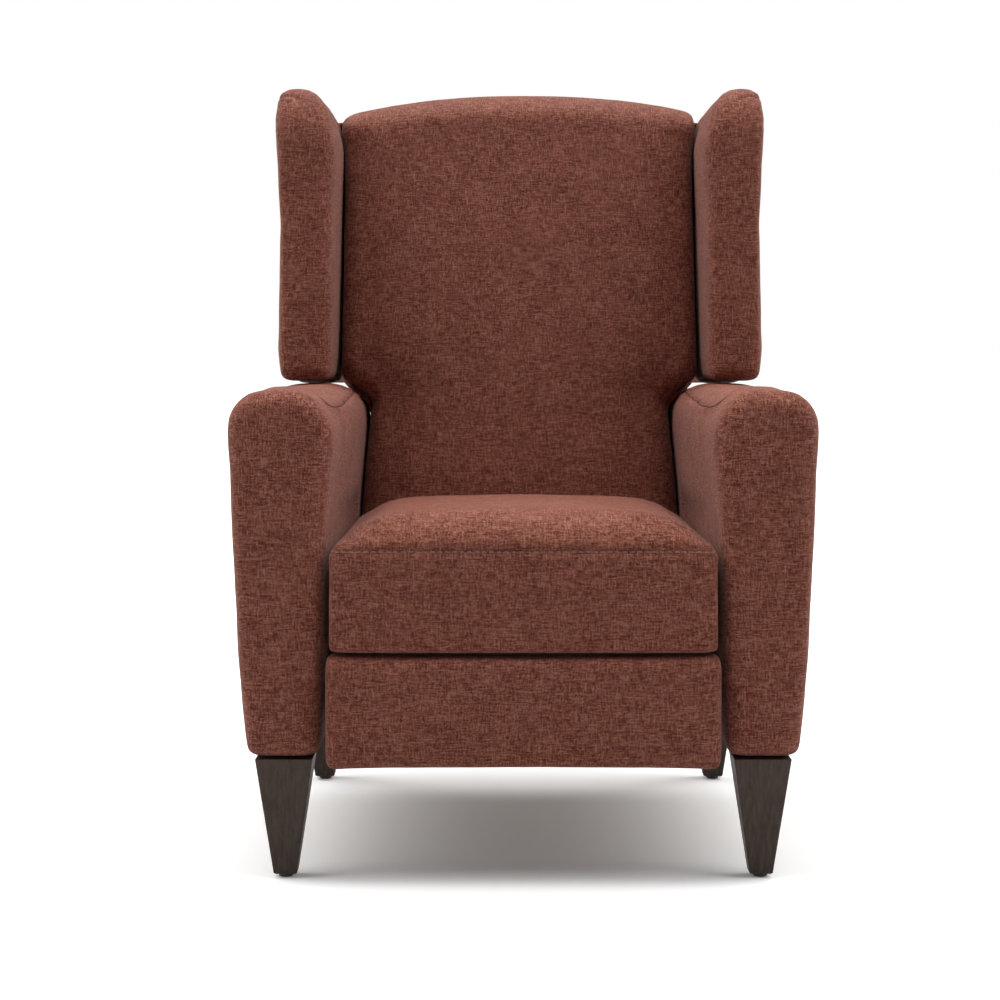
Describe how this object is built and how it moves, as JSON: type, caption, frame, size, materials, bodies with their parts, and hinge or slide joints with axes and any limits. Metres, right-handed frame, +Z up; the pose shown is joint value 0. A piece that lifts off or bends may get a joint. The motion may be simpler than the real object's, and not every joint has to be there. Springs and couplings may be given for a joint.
{
  "type": "wingback recliner",
  "caption": "Upholstered wingback recliner with padded arms on tapered legs, a reclining winged back and a footrest that unfolds on side links.",
  "frame": {"origin": "on the floor, under the middle of the chair's bounding box with back upright and footrest closed", "axes": "+Z up; the chair faces -Y; +X is the right side of the picture"},
  "size_m": [0.7616, 0.9401, 1.1022],
  "materials": {
    "cloth": "brick red heathered weave",
    "dark_wood": "dark stained, satin",
    "pale_wood": "plain softwood and plywood",
    "nylon": "black",
    "black_steel": "black, semi-gloss",
    "spring_steel": "bare wire",
    "webbing": "dark elastic webbing"
  },
  "bodies": {
    "base": {"leg_front_right": "dark_wood", "leg_front_left": "dark_wood", "leg_rear_right": "dark_wood", "leg_rear_left": "dark_wood", "glide_front_right": "nylon", "glide_front_left": "nylon", "glide_rear_right": "nylon", "glide_rear_left": "nylon", "arm_frame_right": "pale_wood", "arm_frame_left": "pale_wood", "arm_cover_right": "cloth", "arm_cover_left": "cloth", "mid_cross_rail": "pale_wood", "rear_cross_rail": "pale_wood", "side_plate_right": "black_steel", "side_plate_left": "black_steel", "seat_side_rail_right": "pale_wood", "seat_side_rail_left": "pale_wood", "seat_front_rail": "pale_wood", "seat_rear_rail": "pale_wood", "seat_spring_1": "spring_steel", "seat_spring_2": "spring_steel", "seat_spring_3": "spring_steel", "seat_spring_4": "spring_steel", "seat_border": "cloth", "seat_cushion": "cloth"},
    "main_links": {"main_link_right": "black_steel", "main_link_left": "black_steel", "link_cross_tube": "black_steel"},
    "guide_links": {"guide_link_right": "black_steel", "guide_link_left": "black_steel"},
    "reach_links": {"reach_link_right": "black_steel", "reach_link_left": "black_steel"},
    "control_links": {"control_link_right": "black_steel", "control_link_left": "black_steel"},
    "footrest": {"footrest_bracket_right": "black_steel", "footrest_bracket_left": "black_steel", "footrest_board": "pale_wood", "footrest_pad": "cloth"},
    "back": {"back_post_right": "pale_wood", "back_post_left": "pale_wood", "back_lower_rail": "pale_wood", "back_middle_rail": "pale_wood", "back_upper_rail": "pale_wood", "back_strap_1": "webbing", "back_strap_2": "webbing", "back_strap_3": "webbing", "back_strap_4": "webbing", "back_bracket_right": "black_steel", "back_bracket_left": "black_steel", "wing_frame_right": "pale_wood", "wing_frame_left": "pale_wood", "wing_pad_right": "cloth", "wing_pad_left": "cloth", "back_cushion": "cloth", "outside_back": "cloth"}
  },
  "joints": [
    {"name": "footrest_open", "type": "hinge", "parent": "base", "child": "main_links", "pos_m": [0, -0.34, 0.2836], "axis": [-1, 0, 0], "range_deg": [0, 140.1]},
    {"name": "guide_turn", "type": "hinge", "parent": "base", "child": "guide_links", "pos_m": [0, -0.3743, 0.283], "axis": [-1, 0, 0], "range_deg": [0, 140.2]},
    {"name": "reach_turn", "type": "hinge", "parent": "main_links", "child": "reach_links", "pos_m": [0, -0.1555, 0.1746], "axis": [1, 0, 0], "range_deg": [0, 137.2]},
    {"name": "footrest_turn", "type": "hinge", "parent": "reach_links", "child": "footrest", "pos_m": [0, -0.4087, 0.2402], "axis": [-1, 0, 0], "range_deg": [0, 92.5]},
    {"name": "control_turn", "type": "hinge", "parent": "guide_links", "child": "control_links", "pos_m": [0, -0.1712, 0.1943], "axis": [1, 0, 0], "range_deg": [0, 144.6]},
    {"name": "back_recline", "type": "hinge", "parent": "base", "child": "back", "pos_m": [0, 0.2, 0.3], "axis": [-1, 0, 0], "range_deg": [0, 35]}
  ],
  "couplings": [
    {"joint": "guide_turn", "follows": "footrest_open", "ratio": 1},
    {"joint": "reach_turn", "follows": "footrest_open", "ratio": 0.97859},
    {"joint": "footrest_turn", "follows": "footrest_open", "ratio": 0.65953},
    {"joint": "control_turn", "follows": "footrest_open", "ratio": 1.0314}
  ]
}
